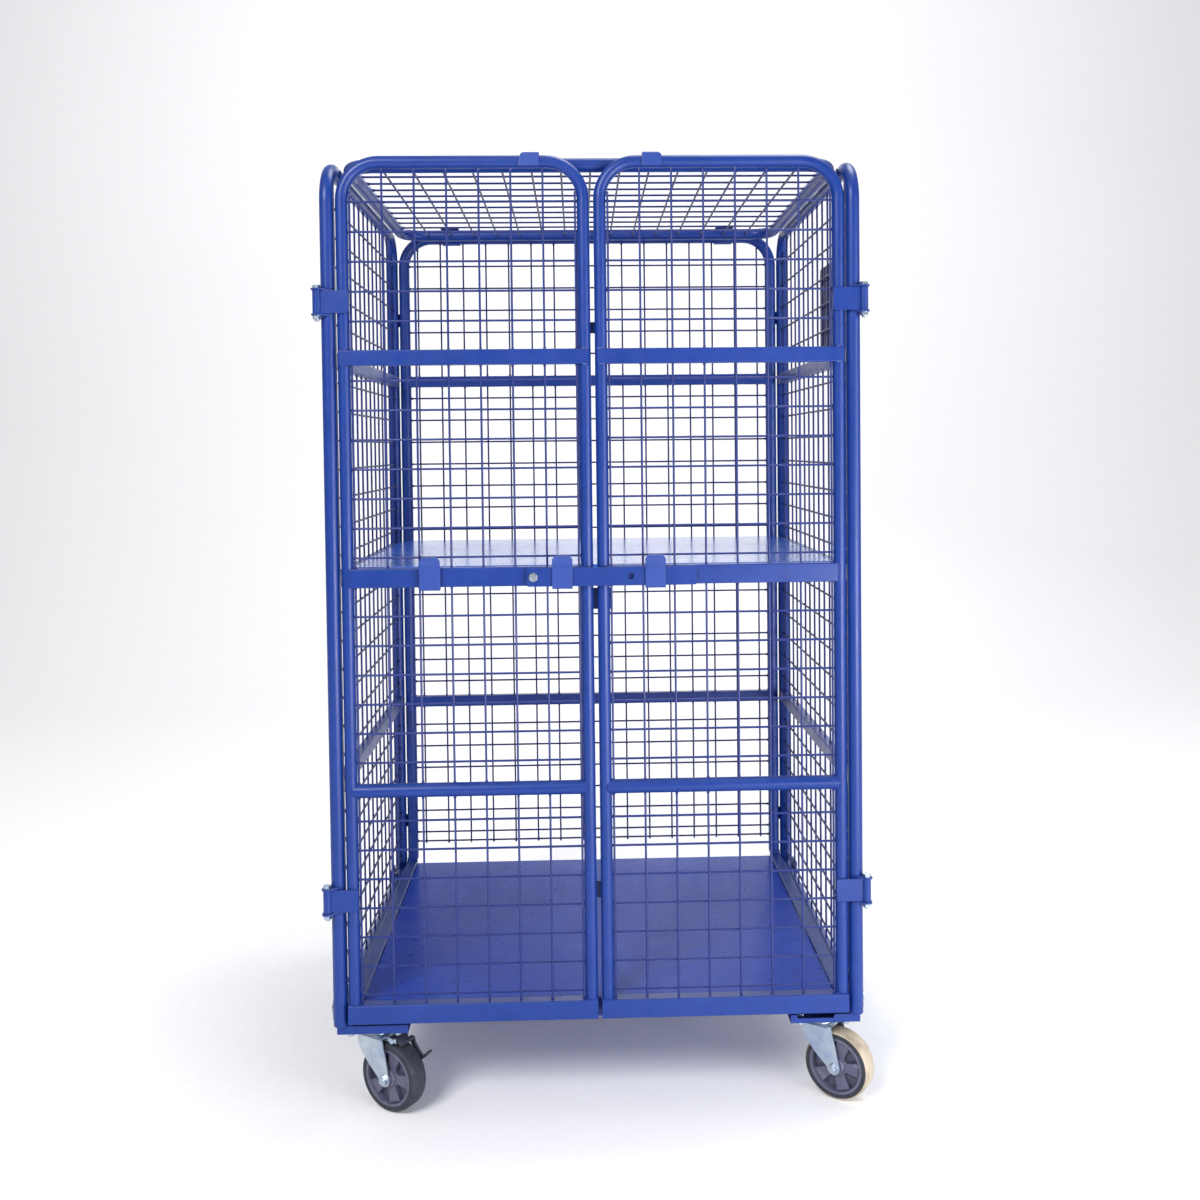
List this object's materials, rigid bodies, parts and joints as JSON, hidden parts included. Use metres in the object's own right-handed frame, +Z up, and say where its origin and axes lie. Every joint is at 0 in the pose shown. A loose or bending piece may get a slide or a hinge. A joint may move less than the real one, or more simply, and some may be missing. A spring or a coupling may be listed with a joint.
{
  "type": "roll cage container",
  "caption": "Mesh roll cage on swivel and fixed casters, with hinged half-width front doors, flat latch bar, hinged lid and folding shelf.",
  "frame": {"origin": "on the floor, at the middle of the bounding box with both front casters at their rest heading", "axes": "+Z up, -Y towards the front doors, +X to the right seen from the front"},
  "size_m": [0.9852, 0.835, 1.7095],
  "materials": {
    "powder_blue": "semi-gloss powder coat",
    "mesh_blue": "semi-gloss powder coat",
    "sheet_blue": "glossy powder coat",
    "zinc": "bright zinc plate",
    "black_steel": "black powder coat",
    "tyre": "matte solid rubber",
    "rim": "painted cast centre"
  },
  "bodies": {
    "cage": {"base_frame": "powder_blue", "deck_sheet": "sheet_blue", "caster_pads": "powder_blue", "caster_bolts": "zinc", "caster_nuts": "zinc", "side_frame_left": "powder_blue", "side_frame_right": "powder_blue", "side_mesh_left": "mesh_blue", "side_mesh_right": "mesh_blue", "panel_clamps": "powder_blue", "panel_bolts": "zinc", "panel_nuts": "zinc", "document_plate": "powder_blue", "back_frame": "powder_blue", "back_mesh": "mesh_blue", "back_brackets": "powder_blue", "hinge_ears": "powder_blue", "hinge_bolts": "zinc", "hinge_nuts": "zinc", "roof_rests": "powder_blue", "shelf_brackets": "powder_blue", "shelf_pins": "zinc", "caster_plates_front": "zinc", "caster_plates_rear": "zinc", "fork_rear_left": "zinc", "fork_rear_right": "zinc", "axle_rear_left": "zinc", "axle_rear_right": "zinc"},
    "door_left": {"door_left_frame": "powder_blue", "door_left_mesh": "mesh_blue", "door_left_hinges": "powder_blue", "door_left_tab": "powder_blue", "keepers_left": "powder_blue", "latch_bolt": "zinc", "latch_fixings": "zinc"},
    "door_right": {"door_right_frame": "powder_blue", "door_right_mesh": "mesh_blue", "door_right_hinges": "powder_blue", "door_right_tab": "powder_blue", "door_stops": "powder_blue", "keeper_right": "powder_blue"},
    "latch": {"latch_bar": "powder_blue"},
    "lid": {"roof_frame": "powder_blue", "roof_mesh": "mesh_blue", "roof_straps": "powder_blue"},
    "shelf": {"shelf_sheet": "sheet_blue"},
    "caster_front_left": {"fork_front_left": "zinc", "axle_front_left": "zinc", "brake_pin": "zinc"},
    "caster_front_right": {"fork_front_right": "zinc", "axle_front_right": "zinc"},
    "pedal": {"brake_pedal": "black_steel"},
    "wheel_front_left": {"tyre_front_left": "tyre", "rim_front_left": "rim"},
    "wheel_front_right": {"tyre_front_right": "tyre", "rim_front_right": "rim"},
    "wheel_rear_left": {"tyre_rear_left": "tyre", "rim_rear_left": "rim"},
    "wheel_rear_right": {"tyre_rear_right": "tyre", "rim_rear_right": "rim"}
  },
  "joints": [
    {"name": "door_left_hinge", "type": "hinge", "parent": "cage", "child": "door_left", "pos_m": [-0.48265, -0.4061, 0.924], "axis": [0, 0, -1], "range_deg": [0, 255]},
    {"name": "door_right_hinge", "type": "hinge", "parent": "cage", "child": "door_right", "pos_m": [0.47535, -0.4061, 0.924], "axis": [0, 0, 1], "range_deg": [0, 255]},
    {"name": "latch_pivot", "type": "hinge", "parent": "door_left", "child": "latch", "pos_m": [-0.11265, -0.3931, 0.966], "axis": [0, -1, 0], "range_deg": [0, 180]},
    {"name": "lid_hinge", "type": "hinge", "parent": "cage", "child": "lid", "pos_m": [-0.00365, 0.4019, 1.69], "axis": [-1, 0, 0], "range_deg": [0, 100]},
    {"name": "shelf_hinge", "type": "hinge", "parent": "cage", "child": "shelf", "pos_m": [-0.00365, 0.3704, 0.966], "axis": [-1, 0, 0], "range_deg": [0, 88]},
    {"name": "swivel_front_left", "type": "hinge", "parent": "cage", "child": "caster_front_left", "pos_m": [-0.40965, -0.3386, 0.14], "axis": [0, 0, 1], "continuous": true},
    {"name": "swivel_front_right", "type": "hinge", "parent": "cage", "child": "caster_front_right", "pos_m": [0.40235, -0.3386, 0.14], "axis": [0, 0, 1], "continuous": true},
    {"name": "wheel_front_left_spin", "type": "hinge", "parent": "caster_front_left", "child": "wheel_front_left", "pos_m": [-0.37778, -0.3593, 0.0625], "axis": [0.5446, 0.8387, 0], "continuous": true},
    {"name": "wheel_front_right_spin", "type": "hinge", "parent": "caster_front_right", "child": "wheel_front_right", "pos_m": [0.43348, -0.3604, 0.0625], "axis": [0.5736, 0.8192, 0], "continuous": true},
    {"name": "wheel_rear_left_spin", "type": "hinge", "parent": "cage", "child": "wheel_rear_left", "pos_m": [-0.40965, 0.3474, 0.0625], "axis": [-1, 0, 0], "continuous": true},
    {"name": "wheel_rear_right_spin", "type": "hinge", "parent": "cage", "child": "wheel_rear_right", "pos_m": [0.40235, 0.3474, 0.0625], "axis": [-1, 0, 0], "continuous": true},
    {"name": "brake_pedal_press", "type": "hinge", "parent": "caster_front_left", "child": "pedal", "pos_m": [-0.36772, -0.36583, 0.133], "axis": [0.5446, 0.8387, 0], "range_deg": [0, 15]}
  ]
}
